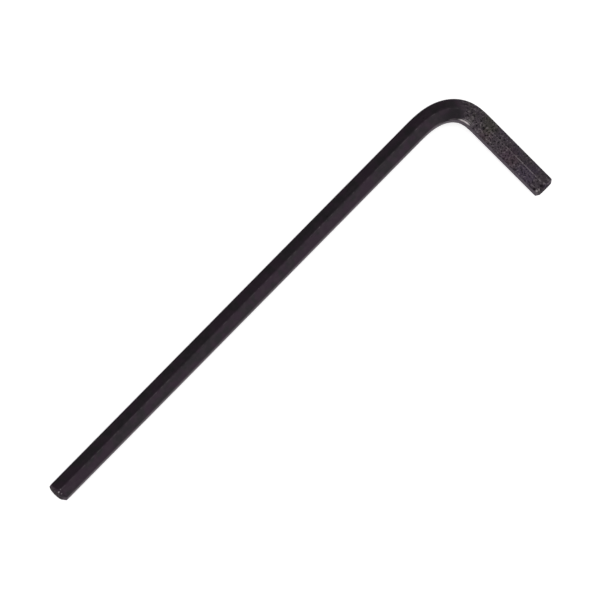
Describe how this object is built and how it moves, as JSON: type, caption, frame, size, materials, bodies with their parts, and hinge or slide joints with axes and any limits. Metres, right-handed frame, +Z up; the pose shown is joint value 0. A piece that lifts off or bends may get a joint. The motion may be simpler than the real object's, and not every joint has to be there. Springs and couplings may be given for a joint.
{
  "type": "hex key",
  "caption": "L-shaped key of hexagonal steel bar with a chamfered end on each arm, for turning screws with hexagon sockets.",
  "frame": {"origin": "on the surface that the key lies on, under the middle of the box that holds the key", "axes": "+X along the long arm from the bend to its end, +Y along the short arm from the bend to its end, +Z up, square to the plane of the bend"},
  "size_m": [0.133, 0.033, 0.0056],
  "materials": {
    "steel": "black oxide on hardened steel, satin, worn lighter along the corners"
  },
  "bodies": {
    "root": {"hex_key": "steel"}
  },
  "joints": []
}
